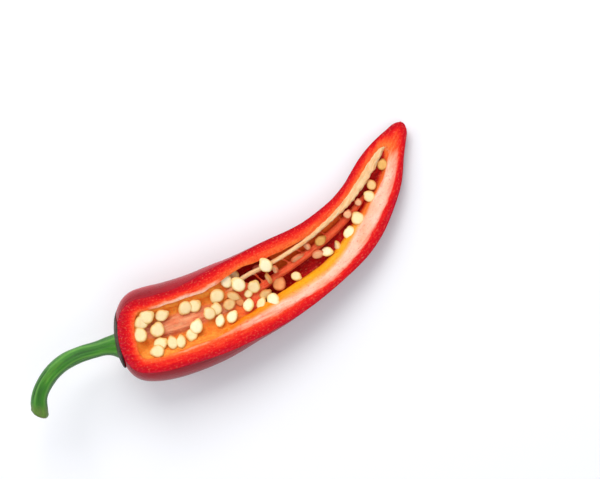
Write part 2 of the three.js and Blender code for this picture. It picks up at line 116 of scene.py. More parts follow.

# Each seed: along, across, depth of its middle, length, width, its turn on the face and its lean along
# and across the pod in degrees, and its colour.
SEEDS = [
    (8.8, 4.72, 0.84, 4.3, 3.9, 20, 4, 4, CREAM),
    (7.22, 3.4, 0.99, 4, 3.7, 200, -12, 4, CREAM),
    (6.34, -0.03, 0.7, 4.3, 3.7, 100, 0, -6, CREAM),
    (13.4, 4.26, 1.41, 4.1, 3.1, 15, 6, 10, CREAM),
    (11.24, 0.54, 1.5, 4.3, 3.9, 75, -8, 0, CREAM),
    (11.26, -3.45, 1.35, 4.1, 3.5, 25, 8, -10, CREAM),
    (10.31, -5.22, 0.7, 4, 3.4, 190, 2, -2, CREAM),
    (14.56, -3.95, 1, 3.8, 2.9, 95, -10, -8, CREAM),
    (16.85, -4.27, 0.77, 3.7, 2.8, 80, 12, -8, CREAM),
    (20.82, 4.46, 1.35, 4.2, 3.6, 215, -8, 12, CREAM),
    (23.46, 4.09, 1.72, 3.9, 3.5, 20, 14, 4, CREAM),
    (20.1, -3.26, 1.6, 3.6, 3.3, 240, -6, -12, CREAM),
    (21.98, -1.63, 1.35, 4.2, 3.6, 55, 10, -6, PAINTED_LIT),
    (26.75, 0.5, 1.35, 3.7, 3.4, 105, -10, 6, CREAM),
    (28.89, 0.85, 2, 3.6, 3.3, 60, 10, 8, CREAM),
    (30.88, 4.17, 1.5, 4.3, 3.8, 210, 0, 12, CREAM),
    (28.55, -2.63, 1.75, 3.6, 2.6, 60, 4, -22, PAINTED_LIT),
    (32.01, -3.02, 1.75, 3.8, 2.9, 35, 8, -14, PAINTED_LIT),
    (34.95, 2.09, 1.6, 4, 2.6, -45, 12, 24, TAN),
    (32.81, 0.46, 2.05, 3.9, 3.1, 10, -8, 18, TAN),
    (35.86, -0.2, 2.7, 3, 2.5, 80, 16, 24, PAINTED_SHADE_ORANGE),
    (35.09, 6.71, 1.75, 4.2, 3.2, 80, 4, 6, PAINTED_LIT),
    (37.45, 6.97, 3.7, 3.6, 3.2, 70, 10, 0, CREAM),
    (37.77, 4.26, 0.5, 4.3, 3.7, 110, -6, 4, PAINTED_LIT),
    (41.29, 1.67, 1.9, 3.8, 3.5, 40, 12, 14, CREAM),
    (39, 0.7, 2.55, 2.6, 2.2, 10, 0, 10, CREAM),
    (47.3, 5.28, -0.45, 4.3, 3.5, 95, 6, 4, PAINTED_LIT),
    (37.54, -2.19, 2, 4, 3.1, 62, 6, -30, PAINTED_LIT),
    (40.87, -3.44, 2.4, 3.6, 2.6, 40, 10, -30, CREAM),
    (43.03, -1.78, 3.1, 3.8, 3, 12, 0, 36, TAN),
    (44.33, -4.05, 1.6, 4.1, 3.3, -70, 10, -16, PAINTED_LIT),
    (47.8, -1.17, 3.5, 3.9, 3.9, 30, 12, -14, PAINTED_SHADE_ORANGE),
    (46.1, 1.66, 2, 3.7, 2.4, 70, 70, 14, TAN),
    (49.06, 2.98, 1.8, 2.4, 2, 75, 50, 8, PEACH),
    (44.6, 5.7, 4, 3.2, 2.8, 0, 6, 24, PAINTED_SHADE_DIM),
    (53.1, -1.72, 2.9, 3.6, 2.5, -60, 10, -36, CREAM),
    (56.03, 2.57, 2.7, 4.2, 2.4, -8, 0, 62, PEACH),
    (60.4, 3.7, 2.2, 2.4, 2.2, 80, 50, 10, PEACH),
    (64.43, 2.72, 1.5, 3.6, 2.7, 8, 8, 26, OLIVE),
    (61.53, 0.12, 3.1, 3.6, 2.7, -18, 12, 30, PEACH),
    (64, -0.84, 2.7, 3.9, 2.7, -50, 14, -34, PAINTED_LIT),
    (67.23, -1.62, 3.1, 3, 2.7, 60, 50, -40, CREAM),
    (72.06, -1.37, 1.8, 3.8, 3.6, 40, 8, -16, PAINTED_LIT),
    (76.58, -0.48, 1.3, 3.9, 3.6, 70, -8, -8, CREAM),
    (75.8, 2.6, 1.35, 2.5, 2.3, 20, 8, 10, PEACH),
    (80.57, 1.8, 1.7, 2.1, 2, 40, 16, 8, PEACH),
    (83.54, -0.15, 1.3, 3.4, 3.1, 80, 10, -6, CREAM),
    (86.65, 0.73, 1.4, 3.1, 2.7, 60, 12, -8, TAN),
    (93.15, 0.14, 1.3, 3.3, 2.8, 10, 6, 0, OLIVE),
]
SEED_THICKNESS = 1.3
SEED_BEAK = 0.2
SEED_SWELL = 1.05  # how much plumper the seeds are than the sizes above
SEED_WARP = 0.12  # how far a seed's faces bend up and down
SEED_NOTCH = 0.62  # where round a seed its notch is, as an angle

CALYX = {"radius": 8.6, "thickness": 0.6, "gap": 0.1, "to_right": 0.8}
STEM = [
    (-0.2, -0.9, -6.3), (-3.3, 0.9, -6), (-6.5, 2.2, -5.6), (-11, 3.9, -5.2), (-15.5, 4.8, -5),
    (-19.7, 4.6, -5), (-24, 3.3, -5.2), (-27.6, 1.1, -5.6), (-30.3, -2.6, -6.2),
]
STEM_RADIUS = [(0, 4), (0.08, 2.8), (0.2, 2.25), (0.5, 2.35), (0.8, 2.25), (0.95, 2.3), (1, 2.35)]
STEM_RIDGES = 5
STEM_CREASE = 2.25  # where round the stem its crease is, as an angle; it is dented and darkened with painted shade
STEM_CREASE_WIDTH = 0.1
STEM_SLANT = 1.7  # how far back the stem's end is cut on its outer side
# The stem's cut end, row by row: its part of the full radius, and how far out it is.
STEM_END = [(0, 1, 0), (3, 1.02, 0.5), (5, 0.92, 1.05), (7, 0.76, 1.25), (10, 0.45, 0.85), (13, 0.05, 0.6)]
STEM_END_ROWS = 14

# The camera looks straight down on the cut face, turned on it, from far enough for a long lens.
PICTURE_MIDDLE = Vector((58.3, -8, 0))
PICTURE_TURN = math.radians(37.3)
PICTURE_WIDTH = 168
LENS = 100
SENSOR = 36

# Each lamp: how far its way is to the right, up and towards the camera, its distance, size, power and colour.
LAMPS = {
    "key": ((-0.35, 0.8, 1.1), 0.7, 0.42, 3, (1, 0.99, 0.97)),
    "overhead": ((0.15, -0.25, 1), 0.9, 0.7, 1.8, (0.97, 0.98, 1)),
    "left": ((-1, 0.2, 0.5), 0.7, 0.4, 0.9, (1, 1, 1)),
}
ROOM_LIGHT = 0.5
FLOOR_SIZE = 4

# ---- Curves ----------------------------------------------------------------------------------------------


def through(pairs, place):
    """A smooth value through (place, value) pairs."""
    i = 0
    while i < len(pairs) - 2 and place > pairs[i + 1][0]:
        i += 1

    def slope(k):
        before, after = pairs[max(k - 1, 0)], pairs[min(k + 1, len(pairs) - 1)]
        return (after[1] - before[1]) / (after[0] - before[0])

    (x0, y0), (x1, y1) = pairs[i], pairs[i + 1]
    width = x1 - x0
    t = min(max((place - x0) / width, 0), 1)
    return (
        (2 * t**3 - 3 * t**2 + 1) * y0 + (t**3 - 2 * t**2 + t) * width * slope(i)
        + (3 * t**2 - 2 * t**3) * y1 + (t**3 - t**2) * width * slope(i + 1)
    )


def through_each(pairs, places):
    return np.array([through(pairs, place) for place in places])


def rounded_end(distance, end):
    """The part of its full width that a rounded end has at a distance in from its very end."""
    rest = 1 - min(max(distance / end["length"], 0), 1)
    return (1 - rest ** end["power"]) ** (1 / end["power"])


def smooth(low, high, value):
    """0 below low, 1 above high, and a soft step between."""
    t = np.clip((np.asarray(value, float) - low) / (high - low), 0, 1)
    return t * t * (3 - 2 * t)


def curve_through(points, steps):
    """A smooth line of points through the given ones, with some steps between each two."""
    given = [Vector(p) for p in points]
    given = [2 * given[0] - given[1], *given, 2 * given[-1] - given[-2]]
    line = []
    for a, b, c, d in zip(given, given[1:], given[2:], given[3:]):
        for k in range(steps):
            t = k / steps
            line.append(
                0.5 * (2 * b + (c - a) * t + (2 * a - 5 * b + 4 * c - d) * t**2
                       + (3 * b - a - 3 * c + d) * t**3)
            )
    return line + [given[-2]]


spine_line = np.array([(p.x, p.y) for p in curve_through([(x, y, 0) for x, y in SPINE], 24)])
spine_steps = np.diff(spine_line, axis=0)
spine_runs = np.concatenate([[0], np.cumsum(np.linalg.norm(spine_steps, axis=1))])
spine_middles = (spine_runs[1:] + spine_runs[:-1]) / 2
spine_headings = np.unwrap(np.arctan2(spine_steps[:, 1], spine_steps[:, 0]))
SPINE_LENGTH = spine_runs[-1]


def place(along, across, depth):
    """The points, in millimetres, at places on the pod."""
    along, across, depth = np.broadcast_arrays(along, across, depth)
    inside = np.clip(along, 0, SPINE_LENGTH)
    beyond = along - inside
    heading = np.interp(inside, spine_middles, spine_headings)
    x = np.interp(inside, spine_runs, spine_line[:, 0]) + beyond * np.cos(heading)
    y = np.interp(inside, spine_runs, spine_line[:, 1]) + beyond * np.sin(heading)
    return np.stack([x - across * np.sin(heading), y + across * np.cos(heading), -depth], axis=-1)


def heading_at(along):
    """Which way the pod's middle line runs at a place along it."""
    return float(np.interp(along, spine_middles, spine_headings))


def wobble(*coordinates):
    """A soft random value, about -1 to 1, at each of many places."""
    flat = [np.ravel(c) for c in np.broadcast_arrays(*coordinates)]
    values = [noise.noise(Vector(p)) for p in zip(*flat)]
    return np.reshape(values, np.broadcast(*coordinates).shape)


# ---- Working on meshes -----------------------------------------------------------------------------------


def active():
    return bpy.context.view_layer.objects.active


def start(operator, name, **settings):
    """Adds a primitive with nothing else selected, and leaves it in edit mode with nothing selected."""
    bpy.ops.object.select_all(action="DESELECT")
    operator(**settings)
    made = active()
    made.name = made.data.name = name
    enter_edit()
    pick_none()
    return made


def pick_all():
    bpy.ops.mesh.select_all(action="SELECT")


def pick_none():
    bpy.ops.mesh.select_all(action="DESELECT")


def enter_edit():
    bpy.ops.object.mode_set(mode="EDIT")
    pick_all()


def leave_edit():
    bpy.ops.object.mode_set(mode="OBJECT")


def close_holes():
    bpy.ops.mesh.select_mode(type="EDGE")
    pick_none()
    bpy.ops.mesh.select_non_manifold()
    bpy.ops.mesh.fill_holes(sides=0)
    bpy.ops.mesh.select_mode(type="VERT")


def apply(piece, kind, **settings):
    modifier = piece.modifiers.new(kind.title(), kind)
    for key, value in settings.items():
        setattr(modifier, key, value)
    bpy.context.view_layer.objects.active = piece
    bpy.ops.object.modifier_apply(modifier=modifier.name)


def coordinates(piece):
    flat = np.empty(len(piece.data.vertices) * 3)
    piece.data.vertices.foreach_get("co", flat)
    return flat.reshape(-1, 3)


def set_coordinates(piece, points):
    piece.data.vertices.foreach_set("co", np.ravel(points))
    piece.data.update()


def store(piece, **numbers):
    """Keeps numbers or places, one for each vertex, for the material to read."""
    for name, values in numbers.items():
        values = np.asarray(values, float)
        kind, field = ("FLOAT_VECTOR", "vector") if values.ndim == 2 else ("FLOAT", "value")
        piece.data.attributes.new(name, kind, "POINT").data.foreach_set(field, values.ravel())


def rolled_sheet(name, rows, columns, shape, first_finish=None):
    """A sheet of quads with rows along a piece, rolled round it and closed at both ends.

    shape gives the points for arrays of row and column numbers, and what to keep for the material.
    first_finish says of each quad, by row and column, whether it has the first material or the second.
    """
    piece = start(
        bpy.ops.mesh.primitive_grid_add, name, x_subdivisions=rows - 1, y_subdivisions=columns, size=2
    )
    leave_edit()
    flat = coordinates(piece)
    row = np.rint((flat[:, 0] + 1) / 2 * (rows - 1)).astype(int)
    column = np.rint((flat[:, 1] + 1) / 2 * columns).astype(int) % columns
    if first_finish is not None:
        for quad in piece.data.polygons:
            quad_row = int((quad.center.x + 1) / 2 * (rows - 1))
            quad_column = int((quad.center.y + 1) / 2 * columns)
            quad.material_index = 0 if first_finish[quad_row, quad_column] else 1
    points, numbers = shape(row, column)
    set_coordinates(piece, points)
    store(piece, **numbers)
    enter_edit()
    bpy.ops.mesh.remove_doubles(threshold=0.0005)
    close_holes()
    pick_all()
    bpy.ops.mesh.normals_make_consistent(inside=False)
    leave_edit()
    return piece


def loft(rings, sides):
    """Adds oval rings, as (middle, way ahead, half width, half height), and bridges them into one solid."""
    for middle, ahead, half_width, half_height in rings:
        side = Vector((0, 0, 1)).cross(ahead).normalized()
        turned = Matrix((side, ahead.cross(side), ahead)).transposed()
        bpy.ops.mesh.primitive_circle_add(
            vertices=sides, radius=half_width, location=middle, rotation=turned.to_euler()
        )
        bpy.ops.transform.resize(value=(1, 1, half_height / half_width), center_override=middle)
        bpy.ops.mesh.hide(unselected=False)
    bpy.ops.mesh.reveal(select=True)
    bpy.ops.mesh.bridge_edge_loops(type="SINGLE")
    close_holes()
    pick_none()


def finish(piece, nodes, slot, *materials, sharp=40):
    """Lays a piece down in metres, hangs it on the root body, gives it its materials and hides the model's
    parts that it takes the place of.
    """
    piece.data.transform(LAY_DOWN)
    piece.data.update()
    for material in materials:
        piece.data.materials.append(material)
    bpy.ops.object.select_all(action="DESELECT")
    piece.select_set(True)
    bpy.context.view_layer.objects.active = piece
    bpy.ops.object.shade_smooth_by_angle(angle=math.radians(sharp))
    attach(piece, "root")
    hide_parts(*nodes)


# ---- Nodes for the materials -----------------------------------------------------------------------------


def rgb(red, green, blue):
    """A colour as it looks on a screen, as the light values that the nodes use."""
    light = [((c / 255 + 0.055) / 1.055) ** 2.4 if c > 10 else c / 255 / 12.92 for c in (red, green, blue)]
    return (*light, 1)


def node(tree, kind, inputs=None, **settings):
    """A node with its settings and inputs. A colour is given as three numbers, 0 to 255."""
    made = tree.nodes.new(kind)
    for key, value in settings.items():
        setattr(made, key, value)
    for key, value in (inputs or {}).items():
        if isinstance(value, bpy.types.NodeSocket):
            tree.links.new(value, made.inputs[key])
        else:
            made.inputs[key].default_value = rgb(*value) if isinstance(value, tuple) else value
    return made


def math_node(tree, operation, first, second):
    return node(tree, "ShaderNodeMath", {0: first, 1: second}, operation=operation, use_clamp=True).outputs[0]


def weaker(tree, mask, part):
    return math_node(tree, "MULTIPLY", mask, part)


def joined(tree, first, first_part, second, second_part):
    """Two height maps, each at its part of the whole."""
    return math_node(tree, "ADD", weaker(tree, first, first_part), weaker(tree, second, second_part))


def stretch(tree, value, low, high):
    """0 below low and 1 above high."""
    return node(
        tree, "ShaderNodeMapRange", {"Value": value, "From Min": low, "From Max": high}, clamp=True
    ).outputs[0]


def mix(tree, factor, first, second):
    return node(tree, "ShaderNodeMix", {0: factor, 6: first, 7: second}, data_type="RGBA").outputs[2]


def ramp(tree, factor, stops):
    made = node(tree, "ShaderNodeValToRGB", {0: factor})
    elements = made.color_ramp.elements
    for element, (position, colour) in zip(elements, (stops[0], stops[-1])):
        element.position, element.color = position, rgb(*colour)
    for position, colour in stops[1:-1]:
        elements.new(position).color = rgb(*colour)
    return made.outputs[0]


def kept(tree, name, output="Fac"):
    """What the mesh keeps under a name."""
    return node(tree, "ShaderNodeAttribute", attribute_name=name).outputs[output]


def grain_group():
    """Marks that may be longer one way, such as fibres, pores and streaks."""
    group = bpy.data.node_groups.new("grain", "ShaderNodeTree")
    socket = group.interface.new_socket
    socket("Place", in_out="INPUT", socket_type="NodeSocketVector")
    socket("Scale", in_out="INPUT", socket_type="NodeSocketFloat").default_value = 1
    socket("Length", in_out="INPUT", socket_type="NodeSocketFloat").default_value = 1
    socket("Roughness", in_out="INPUT", socket_type="NodeSocketFloat").default_value = 0.5
    socket("Mask", in_out="OUTPUT", socket_type="NodeSocketFloat")
    given = group.nodes.new("NodeGroupInput").outputs
    part = node(group, "ShaderNodeMath", {0: 1.0, 1: given["Length"]}, operation="DIVIDE").outputs[0]
    shape = node(group, "ShaderNodeCombineXYZ", {"X": part, "Y": 1.0, "Z": 1.0}).outputs[0]
    drawn = node(group, "ShaderNodeVectorMath", {0: given["Place"], 1: shape}, operation="MULTIPLY")
    pattern = node(group, "ShaderNodeTexNoise", {
        "Vector": drawn.outputs[0], "Scale": given["Scale"], "Detail": 4.0, "Roughness": given["Roughness"],
    })
    result = group.nodes.new("NodeGroupOutput")
    group.links.new(stretch(group, pattern.outputs[0], 0.25, 0.75), result.inputs["Mask"])
    return group


GRAIN = grain_group()


def marks(tree, scale, length=1.0, roughness=0.5):
    """How strong the marks are, 0 to 1. Places are in millimetres, so a scale of 1 gives 1 mm marks."""
    place_on = kept(tree, "flow", "Vector")
    inputs = {"Place": place_on, "Scale": scale, "Length": length, "Roughness": roughness}
    return node(tree, "ShaderNodeGroup", inputs, node_tree=GRAIN).outputs[0]


def new_material(name):
    material = bpy.data.materials.new(name)
    material.use_nodes = True
    return material, material.node_tree


def dress(material, colour, roughness, height, relief, **fixed):
    """Joins the colour, the roughness and a height map of so many millimetres to the shader."""
    tree = material.node_tree
    shader = tree.nodes["Principled BSDF"]
    bump = node(tree, "ShaderNodeBump", {"Height": height, "Distance": relief * 0.001, "Strength": 1.0})
    tree.links.new(colour, shader.inputs["Base Color"])
    tree.links.new(roughness, shader.inputs["Roughness"])
    tree.links.new(bump.outputs[0], shader.inputs["Normal"])
    for key, value in fixed.items():
        shader.inputs[key.replace("_", " ")].default_value = value
    return material


def between(tree, mask, low, high):
    """A value that goes from low to high as a mask goes from 0 to 1."""
    return node(tree, "ShaderNodeMapRange", {"Value": mask, "To Min": low, "To Max": high}).outputs[0]


# ---- Materials -------------------------------------------------------------------------------------------


def skin_material():
    material, tree = new_material("red chilli skin")
    clouds = marks(tree, 0.12, 2.5)
    streaks = marks(tree, 0.5, 8)
    pores = marks(tree, 1.8, 1.4, 0.7)
    colour = ramp(tree, clouds, [(0, (126, 0, 14)), (0.5, (166, 0, 24)), (1, (194, 6, 34))])
    colour = mix(tree, weaker(tree, streaks, 0.35), colour, (116, 0, 26))
    colour = mix(tree, weaker(tree, stretch(tree, pores, 0.7, 1), 0.3), colour, (196, 30, 56))
    height = joined(tree, pores, 0.35, streaks, 0.6)
    return dress(material, colour, between(tree, clouds, 0.24, 0.36), height, 0.09,
                 Coat_Weight=0.18, Coat_Roughness=0.1, Specular_IOR_Level=0.1)


def flesh_material():
    """The cut face and the cavity's wall, coloured by how far they are from the skin and what they bear, with
    painted light on the right wall, painted shade deeper in the cavity and a painted highlight along the
    skin's edge.
    """
    material, tree = new_material("cut chilli flesh")
    fibres = marks(tree, 0.9, 5, 0.65)
    cells = marks(tree, 1.7, 1.3, 0.75)
    blotches = marks(tree, 0.3, 2)
    moved = math_node(tree, "ADD", kept(tree, "rim"), between(tree, fibres, -0.2, 0.2))
    # At 0.04, just inside the skin's edge, the lighter pink stop is a painted highlight along the cut edge;
    # the rest of the ramp is the flesh's own red to orange.
    colour = ramp(tree, moved, [
        (0, (176, 8, 38)), (0.04, (206, 18, 46)), (0.12, (194, 0, 24)), (0.36, (222, 6, 22)),
        (0.52, (238, 34, 24)), (0.72, (246, 74, 34)), (0.92, (250, 104, 44)), (1, (250, 118, 48)),
    ])
    pale = math_node(tree, "ADD", kept(tree, "pale"), between(tree, fibres, -0.4, 0.22))
    pale = stretch(tree, pale, 0.2, 0.8)
    colour = mix(tree, pale, colour, mix(tree, blotches, (252, 170, 130), (254, 220, 198)))
    # The gold is partly the flesh's own orange-yellow tone and partly painted light: it lies on the wall just
    # inside the mouth, longest and yellowest on the right wall, where the light falls.
    gold_and_painted_light = ramp(tree, stretch(tree, kept(tree, "along"), 10, 85), [
        (0, (236, 96, 16)), (0.35, (246, 138, 18)), (0.6, (254, 176, 16)),
        (0.85, (252, 178, 40)), (1, (246, 150, 84)),
    ])
    gold_and_painted_light = mix(tree, weaker(tree, blotches, 0.35), gold_and_painted_light, (250, 124, 30))
    colour = mix(tree, kept(tree, "gold_and_painted_light"), colour, gold_and_painted_light)
    # Painted shade: the cavity's wall turns dark red the deeper it lies, where the cavity is in shadow.
    dark = mix(tree, fibres, (136, 0, 14), (240, 24, 20))
    colour = mix(tree, kept(tree, "painted_shade"), colour, dark)
    flecks = weaker(tree, stretch(tree, cells, 0.58, 0.9), 0.38)
    colour = mix(tree, flecks, colour, (255, 158, 112))
    pits = weaker(tree, stretch(tree, cells, 0.42, 0.1), 0.55)
    colour = mix(tree, pits, colour, (190, 4, 16))
    height = joined(tree, cells, 0.5, fibres, 0.5)
    return dress(material, colour, between(tree, cells, 0.3, 0.5), height, 0.2,
                 Subsurface_Weight=0.08, Subsurface_Scale=0.001, Specular_IOR_Level=0.08)


def core_material():
    """The spongy bed, its fibrous ridge, the pale strand and the red rib, with painted light on the bed's
    right side by the fat end.
    """
    material, tree = new_material("seed bearing core")
    fibres = marks(tree, 1.6, 6, 0.65)
    sponge = marks(tree, 1.1, 1.2, 0.7)
    colour = mix(tree, sponge, (252, 104, 26), (255, 168, 62))
    # Painted light: the bed's right side by the fat end is made brighter and yellower, as where light falls
    # on it.
    colour = mix(tree, kept(tree, "sunny"), colour, mix(tree, sponge, (252, 138, 36), (255, 190, 84)))
    colour = mix(tree, kept(tree, "ember"), colour, mix(tree, fibres, (244, 62, 34), (255, 126, 74)))
    colour = mix(tree, kept(tree, "rosy"), colour, mix(tree, fibres, (232, 104, 60), (252, 178, 130)))
    colour = mix(tree, kept(tree, "cream"), colour, mix(tree, fibres, (250, 172, 102), (255, 228, 180)))
    height = joined(tree, fibres, 0.6, sponge, 0.4)
    return dress(material, colour, between(tree, sponge, 0.34, 0.55), height, 0.45,
                 Subsurface_Weight=0.12, Subsurface_Scale=0.001, Specular_IOR_Level=0.18)


# Each tint is (middle, rim), with the rim colour as painted shade and painted orange reflection at the seed's
# edge. The bright tint is a lit copy of the cream, made with painted light; the dim and orange tints are
# shaded copies, with painted shade and painted orange light thrown back from the cavity; the tan and peach
# tints are partly the seed coat's own warmth and partly that painted shade and reflection.
SEED_TINTS = {
    CREAM: ((255, 228, 174), (236, 184, 104)),
    TAN: ((248, 204, 138), (220, 142, 68)),
    PAINTED_SHADE_ORANGE: ((240, 160, 96), (200, 92, 42)),
    PEACH: ((250, 190, 142), (222, 116, 70)),
    OLIVE: ((240, 184, 100), (190, 118, 46)),
    PAINTED_LIT: ((255, 238, 196), (244, 206, 130)),
    PAINTED_SHADE_DIM: ((232, 120, 84), (180, 56, 34)),
}


def seed_material(tint):
    inner, outer = SEED_TINTS[tint]
    material, tree = new_material("seed coat")
    clouds = marks(tree, 0.9, 1)
    pits = marks(tree, 4.5, 1, 0.7)
    # Painted shade and painted orange reflection: each seed turns to its rim tint towards its edge, so that
    # it looks plump.
    edge = math_node(tree, "ADD", kept(tree, "edge"), between(tree, clouds, -0.25, 0.25))
    colour = mix(tree, edge, inner, outer)
    colour = mix(tree, weaker(tree, stretch(tree, pits, 0.7, 1), 0.35), colour, outer)
    return dress(material, colour, between(tree, pits, 0.32, 0.5), pits, 0.06,
                 Subsurface_Weight=0.15, Subsurface_Scale=0.001, Specular_IOR_Level=0.3)


def stem_material():
    material, tree = new_material("green stem")
    streaks = marks(tree, 1.1, 10, 0.6)
    clouds = marks(tree, 0.4, 4)
    dots = marks(tree, 2.8, 1.5, 0.7)
    colour = ramp(tree, clouds, [(0, (34, 98, 14)), (0.5, (56, 136, 20)), (1, (104, 172, 44))])
    colour = mix(tree, weaker(tree, streaks, 0.6), colour, (30, 82, 16))
    # Painted highlight: the ridges' crests are lightened, as a line of light along the stem.
    colour = mix(tree, kept(tree, "painted_highlight_crest"), colour, (124, 186, 84))
    # Painted shade: the hollows between the ridges and the crease are darkened.
    colour = mix(tree, kept(tree, "painted_shade_groove"), colour, (26, 58, 22))
    colour = mix(tree, weaker(tree, stretch(tree, dots, 0.72, 1), 0.5), colour, (132, 176, 88))
    colour = mix(tree, kept(tree, "cut"), colour, mix(tree, dots, (92, 96, 44), (150, 148, 84)))
    height = joined(tree, streaks, 0.7, dots, 0.3)
    return dress(material, colour, between(tree, dots, 0.34, 0.52), height, 0.22, Specular_IOR_Level=0.35)


def calyx_material():
    material, tree = new_material("dried calyx")
    veins = marks(tree, 0.9, 6, 0.6)
    dots = marks(tree, 2.4, 1, 0.7)
    colour = mix(tree, veins, (36, 28, 18), (80, 72, 46))
    colour = mix(tree, weaker(tree, dots, 0.4), colour, (88, 64, 58))
    colour = mix(tree, kept(tree, "edge"), colour, (46, 26, 22))
    return dress(material, colour, between(tree, dots, 0.55, 0.75), veins, 0.2)


def floor_material():
    material, tree = new_material("pale floor")
    shader = tree.nodes["Principled BSDF"]
    shader.inputs["Base Color"].default_value = (0.93, 0.935, 0.96, 1)
    shader.inputs["Roughness"].default_value = 0.7
    return material


# ---- The pod ---------------------------------------------------------------------------------------------

SKIN_SIDES = 74  # points round the skin
RIM_SIDES = 13  # points across the cut on each side, from the skin to the cavity
WALL_SIDES = 52  # points round the cavity's wall
SIDES = SKIN_SIDES + 2 * RIM_SIDES + WALL_SIDES
SKIN_LUMPS = [(0.011, 0.055, 0, 1.4), (0.005, 0.2, 40, 2.5)]  # height, scale along, start, scale round
STEEPEST_EDGE = math.sin(math.radians(70))  # the most that the skin's edge turns in over the flesh
MOUTH_ENDS = (5.4, 97)  # where the cavity's mouth begins and ends
MOUTH_DEPTH = 0.9  # how deep the cavity is where its mouth is fully open
OPEN_HALF_WIDTH = 0.3  # the narrowest that the cavity's mouth is drawn
RAGGED = 0.22  # how far the mouth's edge wanders
RIM_ROLL = 0.3  # how far the cut rolls down into the cavity
BULGE_TAKEN = 0.75  # how much of the wall's bulge behind the mouth's edge is taken away
FLOOR_GAP = 0.03  # the skin is pressed flat where it would come nearer the floor than this


def pod_half_height(along):
    return POD_FLATNESS * through(POD_HALF_WIDTH, along)


def middle_depth(along):
    return max(through(CUT_ABOVE_MIDDLE, along), 0) * pod_half_height(along)


def pod_stations():
    """Places down the pod, closer together at its ends and where the cavity begins and ends."""
    stations = [POD_BASE["at"] + 0.004]
    end = POD_TIP["at"] - 0.012
    while stations[-1] < end:
        here = stations[-1]
        to_end = min(here - POD_BASE["at"], POD_TIP["at"] - here)
        to_mouth = min(abs(here - mouth_end) for mouth_end in MOUTH_ENDS)
        step = min(0.03 + 0.22 * to_end, 0.16 + 0.1 * to_mouth, 0.7)
        stations.append(here + step)
    stations[-1] = end
    return stations


def cavity_at(along):
    """Half the cavity's width, half its height, and how far open its end is, 0 to 1."""
    near, far = along - CAVITY_BASE["at"], CAVITY_TIP["at"] - along
    if near <= 0 or far <= 0:
        return OPEN_HALF_WIDTH, 0.0, 0.0
    round_part = rounded_end(near, CAVITY_BASE) * rounded_end(far, CAVITY_TIP)
    half = through(CAVITY_HALF_WIDTH, along) * round_part
    high = (pod_half_height(along) - through(CAVITY_FLOOR, along)) * round_part
    mouth = max(high - middle_depth(along), 0)
    return half, high, float(smooth(0, MOUTH_DEPTH, mouth)) * float(smooth(0, 2.5, far))


